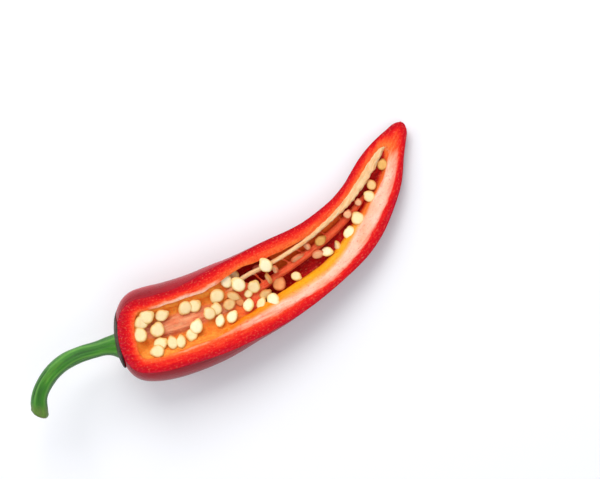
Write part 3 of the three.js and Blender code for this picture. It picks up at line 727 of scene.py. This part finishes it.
def pod_section(along):
    """One section's points, as across and depth, starting at the left edge of the skin.

    With them come which points are skin, how far over the cavity is, and how open its mouth is.
    """
    round_part = rounded_end(along - POD_BASE["at"], POD_BASE) * rounded_end(POD_TIP["at"] - along, POD_TIP)
    half = through(POD_HALF_WIDTH, along) * round_part
    high = half * POD_FLATNESS
    middle = middle_depth(along)
    edge = math.asin(min(middle / high, STEEPEST_EDGE))

    turn = np.concatenate([[0, 0.002], np.linspace(0.012, 0.988, SKIN_SIDES - 4), [0.998, 1]])
    angle = edge - turn * (math.pi + 2 * edge)
    swell = 0.998
    for lump, down, first, around in SKIN_LUMPS:
        swell = swell + lump * wobble(down * along + first, around * np.cos(angle), around * np.sin(angle))
    skin_across = half * swell * np.cos(angle)
    fat, knuckle = through(FAT_SIDE, along) * round_part, through(KNUCKLE, along) * round_part
    skin_across -= fat * smooth(-0.1, 1, -np.cos(angle))
    skin_across += knuckle * smooth(-0.1, 1, np.cos(angle))
    skin_depth = middle - high * swell * np.sin(angle)
    if middle < high:
        skin_depth[[0, -1]] = 0
    left, right = skin_across[0], skin_across[-1]

    wide, tall, openness = cavity_at(along)
    shift = through(CAVITY_SHIFT, along) * (1 if tall else 0.4)
    is_open = tall > middle + 0.01
    hold = math.asin(middle / tall) if is_open else 0.0
    mouth = max(wide * math.cos(hold), OPEN_HALF_WIDTH) if is_open else OPEN_HALF_WIDTH
    ragged = RAGGED * wobble([0.35 * along] * 2, [3.3, 9.1], [0, 0]) * openness
    fat_mouth = FAT_MOUTH * through(FAT_SIDE, along) * openness
    right_mouth, left_mouth = shift - mouth + ragged[0] - fat_mouth, shift + mouth + ragged[1]

    t = np.linspace(0, 1, RIM_SIDES + 1)[1:]
    spread = 0.5 - 0.5 * np.cos(np.pi * t)
    rim = 0.4 * t + 0.6 * spread
    rim_depth = RIM_ROLL * openness * rim**6 + 0.05 * wobble(0.3 * along, 3 * rim, 0.0)
    rim_depth = np.maximum(rim_depth, 0) * np.minimum(1, 8 * rim)
    right_across = right + (right_mouth - right) * rim
    left_across = (left + (left_mouth - left) * rim)[::-1]

    u = np.linspace(0, 1, WALL_SIDES + 2)[1:-1]
    angle = math.pi - hold + u * (math.pi + 2 * hold)
    reach = np.cos(angle) * (wide if is_open else mouth)
    bulge = np.maximum(np.abs(reach) - mouth, 0)
    reach = np.sign(reach) * (np.abs(reach) - BULGE_TAKEN * bulge)
    wall_across = shift + reach + np.where(reach < 0, ragged[0], ragged[1]) * np.abs(reach) / mouth
    wall_depth = openness * np.maximum(middle - tall * np.sin(angle), 0) if is_open else 0 * angle
    shelf = through(SHELF_WIDTH, along)
    shelf_part = smooth(0, 1.9, wall_depth) * (1 - smooth(3, 5.5, wall_depth)) * (reach < 0)
    wall_across += shelf * openness * shelf_part
    rib_marks = 0.12 * wobble(0.25 * along, 0.9 * wall_depth, np.sign(reach) * 5.0)
    wall_across += rib_marks * smooth(0.3, 1.5, wall_depth)
    wall_depth += RIM_ROLL * openness * (1 - smooth(0, 1, wall_depth))
    wall_across -= fat_mouth * smooth(0, 1, -reach / mouth) * (1 - smooth(0, 4, wall_depth))

    across = np.concatenate([skin_across, right_across, wall_across, left_across])
    depth = np.concatenate([skin_depth, rim_depth, wall_depth, rim_depth[::-1]])
    top = slice(SKIN_SIDES, None)
    fattened = half + np.where(across[top] < 0, fat, knuckle)
    cap = middle - high * np.sqrt(np.maximum(1 - (across[top] / fattened) ** 2, 0))
    depth[top] = np.maximum(depth[top], cap)
    is_skin = np.zeros(SIDES, bool)
    is_skin[:SKIN_SIDES] = True
    is_skin[top] = cap > 0.02
    return across, depth, is_skin, shift, openness


def nearest(points, others):
    """How far each point on the face is from the nearest of the others."""
    gaps = points[:, None, :2] - others[None, :, :2]
    return np.sqrt((gaps**2).sum(axis=2).min(axis=1))


def pod_tables():
    """Every section's points, with what the flesh material reads at each."""
    stations = pod_stations()
    across, depth, is_skin, shift, openness = map(np.array, zip(*map(pod_section, stations)))
    along = np.repeat(np.array(stations)[:, None], SIDES, axis=1)
    points = place(along, across, depth)

    rim_start, wall_start = SKIN_SIDES, SKIN_SIDES + RIM_SIDES
    wall_end = wall_start + WALL_SIDES
    cut = ~is_skin[:, wall_start + WALL_SIDES // 2]
    opened = openness > 0.05
    first_cut, first_open = np.argmax(cut), np.argmax(opened)
    last_open = len(opened) - 1 - np.argmax(opened[::-1])
    skin_edge = np.concatenate([
        points[cut, 0], points[cut, SKIN_SIDES - 1], points[first_cut, rim_start:], points[-1, ::8],
    ])
    mouth_edge = np.concatenate([
        points[opened, wall_start], points[opened, wall_end - 1],
        points[first_open, wall_start:wall_end], points[last_open, wall_start:wall_end],
    ])
    top = points[:, rim_start:].reshape(-1, 3)
    to_skin, to_mouth = nearest(top, skin_edge), nearest(top, mouth_edge)
    rim = np.zeros(along.shape)
    rim[:, rim_start:] = (to_skin / (to_skin + to_mouth + 1e-6)).reshape(len(stations), -1)
    rim *= 1 - 0.75 * (1 - smooth(3, 14, along)) * (1 - rim)
    rim += rim * (1 - rim) * (0.45 * smooth(25, 45, along) + 0.5 * smooth(92, 99, along))
    inside = np.zeros(along.shape, bool)
    inside[:, wall_start:wall_end] = opened[:, None]
    rim[inside] = 1

    left = smooth(-2, 2, across - shift[:, None])

    def by_side(left_pairs, right_pairs):
        on_left = through_each(left_pairs, stations)[:, None]
        on_right = through_each(right_pairs, stations)[:, None]
        return left * on_left + (1 - left) * on_right

    pale = by_side(
        [(0, 0), (8, 0.35), (18, 0.95), (28, 0.9), (36, 0.3), (48, 0.08), (80, 0.05), (94, 0.12), (106, 0)],
        [
            (0, 0), (8, 0.1), (20, 0.3), (34, 0.6), (48, 0.95), (62, 1), (84, 1), (94, 0.75), (100, 0.2),
            (106, 0),
        ],
    )
    pale_from = by_side([(0, 0.6), (50, 0.6), (106, 0.5)], [(0, 0.6), (45, 0.5), (65, 0.38), (106, 0.35)])
    pale = pale * smooth(0, 1, (rim - pale_from) / 0.4) * (1 - smooth(0.4, 1.4, depth) * inside)
    # The gold is painted light where light reaches into the cavity: how deep it reaches down the wall, and
    # how much of it lies on each side, with the right wall lit far down the pod and the left wall left to
    # painted shade past the fat end.
    gold_reach = by_side(
        [(0, 6), (28, 5), (34, 0.6), (106, 0.3)], [(0, 6), (36, 6), (55, 4.2), (74, 3.2), (106, 1)]
    )
    gold_side = by_side(
        [(0, 1), (30, 1), (38, 0.25), (106, 0)], [(0, 1), (70, 1), (80, 0.35), (92, 0.05), (106, 0)]
    )
    gold_and_painted_light = inside * gold_side * smooth(0.15, 1.2, depth) * (1 - smooth(0.75, 1.1, depth / gold_reach))
    # Painted shade: how far the wall is painted dark red, growing with depth past the reach of the gold.
    painted_shade = inside * smooth(0.6, 1.3, depth / gold_reach)
    around = np.cumsum(np.linalg.norm(np.diff(points, axis=1, prepend=points[:, :1]), axis=2), axis=1)
    flow = np.stack([along, np.where(is_skin, around, across), depth], axis=-1)
    return points, is_skin, {
        "along": along, "rim": rim, "pale": pale, "gold_and_painted_light": gold_and_painted_light, "painted_shade": painted_shade, "flow": flow,
    }


def pod():
    points, is_skin, tables = pod_tables()

    def shape(row, column):
        return points[row, column], {key: table[row, column] for key, table in tables.items()}

    next_column = np.roll(is_skin, -1, axis=1)
    skin_quads = (is_skin & next_column)[:-1] & (is_skin & next_column)[1:]
    piece = rolled_sheet("pod_half", len(points), SIDES, shape, skin_quads)
    laid = coordinates(piece)
    up = np.array(TURN.to_3x3().row[2])
    low = np.maximum(FLOOR_GAP - POD_ORIGIN.z - laid @ up, 0)
    set_coordinates(piece, laid + low[:, None] * up)
    finish(piece, ["pod"], "flesh", skin_material(), flesh_material(), sharp=50)


# ---- The seed bearing core -------------------------------------------------------------------------------


CORE_VOXEL = 0.27  # the size of the cells that the core's parts are joined into one skin with
SPONGE_HEIGHT = 0.4
FIBRE_HEIGHT = 0.28
KNOT_HEIGHT = 0.3

# Where down the pod a look or a shape comes in or goes out, as the two ends of a soft step.
BED_COMES_IN = (4.8, 8.4)
BED_GOES_OUT = (30, 36)
PAINTED_LIGHT_GOES_OUT = (9, 24)
EMBER_COMES_IN = (31, 38)
CREAM_COMES_IN = (32, 38)
KNOTS_COME_IN = (40, 80)
CORE_BELOW_FACE = 0.12  # nothing of the core comes nearer the cut face than this


def cord_rings(rows, steps):
    """Oval rings down a cord that tapers off at both ends."""
    middles = place(*[np.array(values, float) for values in zip(*[row[:3] for row in rows])])
    line = curve_through(middles, steps)
    count = len(line)
    width = [(i * steps, row[3]) for i, row in enumerate(rows)]
    height = [(i * steps, row[4]) for i, row in enumerate(rows)]
    rings = []
    for i, middle in enumerate(line):
        ahead = (line[min(i + 1, count - 1)] - line[max(i - 1, 0)]).normalized()
        part = max(rounded_end(min(i, count - 1 - i) + 0.15, {"length": steps / 2, "power": 2}), 0.2)
        rings.append((middle, ahead, part * through(width, i), part * through(height, i)))
    return rings


def bed_rings():
    rings = []
    base, tip = BED_BASE["at"], BED_TIP["at"]
    for along in np.linspace(base + 0.05, tip - 0.05, 40):
        round_part = rounded_end(along - base, BED_BASE) * rounded_end(tip - along, BED_TIP)
        half = (through(CAVITY_HALF_WIDTH, along) * through(BED_PART, along) + BED_EXTRA) * round_part
        high = (pod_half_height(along) - through(CAVITY_FLOOR, along)) * round_part
        shift = through(CAVITY_SHIFT, along) + through(BED_SHIFT, along)
        shift -= BED_TO_RIGHT * through(FAT_SIDE, along)
        middle = Vector(place(along, shift, middle_depth(along)))
        heading = heading_at(along)
        rings.append((middle, Vector((math.cos(heading), math.sin(heading), 0)), half, high))
    return rings


def webs():
    """Thin oval rings from the strand down to the rib."""

    def along_cord(rows, along):
        return [through([(row[0], row[k]) for row in rows], along) for k in (1, 2)]

    for start_along, end_along in WEBS:
        top, low = along_cord(STRAND, start_along), along_cord(RIB, end_along)
        start_point = Vector(place(start_along, top[0], top[1] + 0.2))
        end_point = Vector(place(end_along, low[0], low[1]))
        sag = Vector((0, 0, -0.5))
        line = curve_through([start_point, (start_point + end_point) / 2 + sag, end_point], 4)
        ahead = (end_point - start_point).normalized()
        yield [(point, ahead, 0.3 + 0.5 * abs(i / 8 - 0.5), 0.26) for i, point in enumerate(line)]


def pod_places(points):
    """The along, across and depth of points in the pod's frame."""
    gaps = points[:, None, :2] - spine_line[None, :, :2]
    index = (gaps**2).sum(axis=2).argmin(axis=1)
    index = np.clip(index, 0, len(spine_steps) - 1)
    heading = spine_headings[index]
    gap = points[:, :2] - spine_line[index]
    along = spine_runs[index] + gap[:, 0] * np.cos(heading) + gap[:, 1] * np.sin(heading)
    across = gap[:, 1] * np.cos(heading) - gap[:, 0] * np.sin(heading)
    return along, across, -points[:, 2]


def near_cord(points, rows, low, high):
    """1 on a cord and 0 away from it, by the distance from its surface."""
    rings = cord_rings(rows, 24)
    middles = np.array([ring[0] for ring in rings])
    sizes = np.array([ring[2] for ring in rings])
    squares = (points**2).sum(axis=1)[:, None] + (middles**2).sum(axis=1)[None] - 2 * points @ middles.T
    gaps = np.sqrt(np.maximum(squares, 0)) - sizes[None]
    return 1 - smooth(low, high, gaps.min(axis=1))


def core():
    piece = start(bpy.ops.mesh.primitive_circle_add, "seed_core", vertices=8, radius=1)
    pick_all()
    bpy.ops.mesh.delete(type="VERT")
    loft(bed_rings(), 40)
    pick_all()
    bpy.ops.mesh.bisect(plane_co=(0, 0, -BED_TOP), plane_no=(0, 0, 1), clear_outer=True, use_fill=True)
    pick_none()
    for rows in (RIDGE, STRAND, RIB):
        loft(cord_rings(rows, 5), 14)
    for rings in webs():
        loft(rings, 10)
    pick_all()
    bpy.ops.mesh.normals_make_consistent(inside=False)
    leave_edit()
    apply(piece, "REMESH", mode="VOXEL", voxel_size=CORE_VOXEL)
    apply(piece, "SMOOTH", factor=0.5, iterations=4)

    points = coordinates(piece)
    along, across, depth = pod_places(points)
    wide, shift = through_each(CAVITY_HALF_WIDTH, along), through_each(CAVITY_SHIFT, along)
    half_high = np.array([pod_half_height(a) - through(CAVITY_FLOOR, a) for a in along])
    lifted = np.array([middle_depth(a) for a in along]) / half_high
    reach = np.abs(across - shift) / (wide * np.sqrt(1 - np.minimum(lifted, 0.9) ** 2))
    to_end = 1 - smooth(*BED_COMES_IN, along)
    on_bed = (1 - smooth(BED_TOP + 0.4, BED_TOP + 1.2, depth)) * (1 - smooth(*BED_GOES_OUT, along))
    fibre = wobble(along * 0.16, across * 1.5, depth * 0.6)
    sponge = wobble(along * 0.55, across * 0.55, depth * 0.5)
    rosy = near_cord(points, RIDGE, -0.4, 0.9)
    rise = np.maximum(smooth(0.5, 1.02, reach), to_end)
    points[:, 2] += on_bed * (BED_RISE * rise + SPONGE_HEIGHT * sponge)
    points[:, 2] += FIBRE_HEIGHT * fibre * (0.35 + rosy)
    cream = near_cord(points, STRAND, 0.1, 0.5) * smooth(*CREAM_COMES_IN, along)
    knots = KNOT_HEIGHT * cream * smooth(*KNOTS_COME_IN, along)
    points[:, 0] += knots * wobble(along * 0.8, across * 0.8, depth)
    points[:, 1] += knots * wobble(along * 0.8 + 30, across * 0.8, depth)
    points[:, 2] = np.minimum(points[:, 2], -CORE_BELOW_FACE)
    set_coordinates(piece, points)
    # Painted light on the bed's right side, fading out towards the middle of the pod.
    sunny = 0.8 * smooth(0.3, 0.75, (shift - across) / wide) * (1 - smooth(*PAINTED_LIGHT_GOES_OUT, along))
    flow = np.stack([along, across, depth], axis=-1)
    ember = smooth(*EMBER_COMES_IN, along)
    store(piece, flow=flow, cream=cream, rosy=rosy, sunny=sunny, ember=ember)
    finish(piece, ["placenta"], "core", core_material(), sharp=60)


# ---- Seeds -----------------------------------------------------------------------------------------------


def seed_blank():
    """A flat round disc of unit size with a plump rim, a small beak and a notch beside it."""
    piece = start(bpy.ops.mesh.primitive_uv_sphere_add, "seed", segments=30, ring_count=16, radius=1)
    pick_all()
    bpy.ops.transform.resize(value=(1, 1, 0.9), center_override=(0, 0, 0))
    leave_edit()
    x, y, z = coordinates(piece).T
    reach = np.hypot(x, y)
    turn = np.arctan2(y, x)
    notch = 1 - 0.09 * np.exp(-(((turn - SEED_NOTCH) / 0.2) ** 2)) * smooth(0.4, 1, reach)
    beak = SEED_BEAK * np.maximum(x, 0) ** 5
    z = np.sign(z) * np.abs(z) ** 0.8 * (0.8 + 0.28 * reach**2)
    set_coordinates(piece, np.stack([x * notch + beak, y * notch, z], axis=-1))
    # The edge band, where the seed material paints shade and reflected orange light round the rim.
    store(piece, edge=smooth(0.62, 1, reach))
    return piece


def seeds():
    blank = seed_blank()
    unit = coordinates(blank)
    finishes = {}
    chance = random.Random(11)
    for number, row in enumerate(SEEDS, 1):
        along, across, depth, length, width, turn, lean_along, lean_across, tint = row
        name = f"seed_{number:02d}"
        piece = blank.copy()
        piece.data = blank.data.copy()
        piece.name = piece.data.name = f"chilli_{name}"
        bpy.context.collection.objects.link(piece)
        offset = Vector([chance.uniform(-50, 50) for _ in range(3)])
        warp = wobble(unit[:, 0] + offset.x, unit[:, 1] + offset.y, unit[:, 2] * 0.3)
        size = SEED_SWELL * np.array([length / (2 + SEED_BEAK), width / 2, SEED_THICKNESS / 2])
        points = unit * size * (1 + 0.07 * warp[:, None])
        points[:, 2] += SEED_WARP * warp
        set_coordinates(piece, points)
        store(piece, flow=points + np.array(offset))
        laid = (
            Matrix.Translation(Vector(place(along, across, depth)))
            @ Matrix.Rotation(heading_at(along), 4, "Z")
            @ Matrix.Rotation(math.radians(lean_across), 4, "X")
            @ Matrix.Rotation(-math.radians(lean_along), 4, "Y")
            @ Matrix.Rotation(math.radians(turn), 4, "Z")
        )
        piece.data.transform(laid)
        if tint not in finishes:
            finishes[tint] = seed_material(tint)
        finish(piece, [name], "seed", finishes[tint], sharp=80)
    bpy.data.objects.remove(blank)


# ---- Calyx and stem --------------------------------------------------------------------------------------


def base_at(radius):
    """How far along the pod its base surface is, at a radius from its middle."""
    part = (radius / POD_HALF_WIDTH[0][1]) ** POD_BASE["power"]
    return POD_BASE["at"] + POD_BASE["length"] * (1 - (1 - part) ** (1 / POD_BASE["power"]))


def calyx():
    """A thin saucer over the pod's base, with a low lobed rim, cut off at the face."""
    rows, columns = 30, 90
    outer_rows = 18
    depth_middle = middle_depth(0)

    def shape(row, column):
        angle = 2 * math.pi * column / columns
        ragged = wobble(3 * np.cos(angle), 3 * np.sin(angle), 0.0)
        lobes = 1 + 0.035 * np.cos(5 * angle + 0.6) + 0.02 * ragged
        outside = row < outer_rows
        part = np.where(outside, (row + 0.3) / outer_rows, (rows - row - 0.5) / (rows - outer_rows))
        part = np.minimum(part, 1)
        radius = CALYX["radius"] * lobes * part * np.where(outside, 1, 0.985)
        thick = CALYX["thickness"] * (1 - 0.25 * part**2) * (1 + 0.06 * np.cos(20 * angle) * part)
        along = base_at(radius) - CALYX["gap"] * (1 - 0.6 * part) - np.where(outside, thick, 0)
        across = radius * np.cos(angle) - CALYX["to_right"]
        depth = depth_middle - radius * POD_FLATNESS * np.sin(angle)
        flow = np.stack([radius, angle * 6, 0 * angle], axis=-1)
        return place(along, across, depth), {"flow": flow, "edge": smooth(0.86, 1, part)}

    piece = rolled_sheet("calyx_collar", rows, columns, shape)
    enter_edit()
    bpy.ops.mesh.bisect(plane_co=(0, 0, -0.03), plane_no=(0, 0, 1), clear_outer=True, use_fill=True)
    leave_edit()
    finish(piece, ["calyx"], "calyx", calyx_material(), sharp=45)


def stem():
    """A bent ridged stem, wider where it joins, with a slanted, rounded and dished cut end."""
    rows, columns = 124, 70
    body_rows = rows - STEM_END_ROWS
    points = np.array(curve_through(STEM, 14))
    runs = np.concatenate([[0], np.cumsum(np.linalg.norm(np.diff(points, axis=0), axis=1))])
    length = runs[-1]
    even = np.linspace(0, length, body_rows)
    middles = np.stack([np.interp(even, runs, points[:, k]) for k in range(3)], axis=-1)
    ahead = np.gradient(middles, axis=0)
    ahead /= np.linalg.norm(ahead, axis=1)[:, None]
    side = np.cross([0, 0, 1], ahead)
    side /= np.linalg.norm(side, axis=1)[:, None]
    up = np.cross(ahead, side)
    radii = through_each(STEM_RADIUS, even / length)
    end_numbers = range(STEM_END_ROWS + 1)
    scales = through_each([(end[0], end[1]) for end in STEM_END], end_numbers)
    outs = through_each([(end[0], end[2]) for end in STEM_END], end_numbers)

    def shape(row, column):
        body = np.minimum(row, body_rows - 1)
        past = row - body
        out = outs[past]
        angle = 2 * math.pi * column / columns
        run = even[body]
        drift = 1.1 * wobble(0.12 * run, 0.0, 0.0)
        ridge = np.cos(STEM_RIDGES * angle + 0.05 * run + 0.8 + drift)
        crease = np.exp(-(((angle - STEM_CREASE) / STEM_CREASE_WIDTH) ** 2))
        crease *= smooth(0.58, 0.66, run / length) * (1 - smooth(0.84, 0.92, run / length))
        lumps = wobble(0.25 * run, 1.3 * np.cos(angle), 1.3 * np.sin(angle))
        swell = 1 - 0.1 * crease + 0.038 * ridge + 0.03 * lumps
        swell += 0.012 * np.cos(13 * angle + 0.1 * run)
        radius = radii[body] * scales[past] * np.where(past > 5, 1, swell)
        to_end = smooth(length - 5, length, run)
        slant = STEM_SLANT * to_end * (0.5 - 0.5 * np.cos(angle)) ** 1.5
        points_on = (
            middles[body] + ahead[body] * (out - slant)[:, None]
            + side[body] * (radius * np.cos(angle))[:, None] + up[body] * (radius * np.sin(angle))[:, None]
        )
        flow = np.stack([run, 2.3 * angle, out], axis=-1)
        dried = 0.4 * smooth(length - 3.5, length, run)
        return points_on, {
            "flow": flow,
            # painted shade in the hollows between ridges and in the crease
            "painted_shade_groove": np.maximum(smooth(0.6, 1, -ridge) * 0.3, crease),
            # painted highlight along the ridges' crests, fading out towards the cut end
            "painted_highlight_crest": smooth(0.55, 1, ridge) * 0.38 * (1 - to_end),
            "cut": np.maximum(smooth(3, 6, past), dried),
        }

    piece = rolled_sheet("stem_stalk", rows, columns, shape)
    finish(piece, ["stem"], "stem", stem_material(), sharp=60)


# ---- Floor, light and camera -----------------------------------------------------------------------------


def area_light(name, direction, distance, size, power, colour, target):
    """A soft square lamp out from a point, facing back at it."""
    bpy.ops.object.light_add(type="AREA")
    lamp = active()
    lamp.name = name
    lamp.data.size = size
    lamp.data.energy = power
    lamp.data.color = colour
    lamp.location = target + direction.normalized() * distance
    lamp.rotation_euler = (-direction).to_track_quat("-Z", "Y").to_euler()


def studio():
    floor = start(bpy.ops.mesh.primitive_plane_add, "floor", size=FLOOR_SIZE)
    pick_all()
    bpy.ops.mesh.subdivide(number_cuts=3)
    leave_edit()
    floor.data.materials.append(floor_material())

    turn = TURN.to_3x3()
    right = turn @ Vector((math.cos(PICTURE_TURN), -math.sin(PICTURE_TURN), 0))
    upward = turn @ Vector((math.sin(PICTURE_TURN), math.cos(PICTURE_TURN), 0))
    outward = turn @ Vector((0, 0, 1))
    target = LAY_DOWN @ PICTURE_MIDDLE

    bpy.ops.object.camera_add()
    camera = active()
    camera.name = "camera"
    camera.data.lens = LENS
    camera.data.sensor_width = SENSOR
    distance = PICTURE_WIDTH * 0.001 * LENS / SENSOR
    camera.matrix_world = (
        Matrix.Translation(target + outward * distance)
        @ Matrix((right, upward, outward)).transposed().to_4x4()
    )
    bpy.context.scene.camera = camera

    for name, (way, away, size, power, colour) in LAMPS.items():
        direction = way[0] * right + way[1] * upward + way[2] * outward
        area_light(name, direction, away, size, power, colour, target)

    world = bpy.data.worlds.new("studio")
    world.use_nodes = True
    background = world.node_tree.nodes["Background"]
    background.inputs["Color"].default_value = (0.93, 0.95, 1, 1)
    background.inputs["Strength"].default_value = ROOM_LIGHT
    bpy.context.scene.world = world
    bpy.context.scene.view_settings.view_transform = "Standard"


studio()
pod()
core()
seeds()
calyx()
stem()
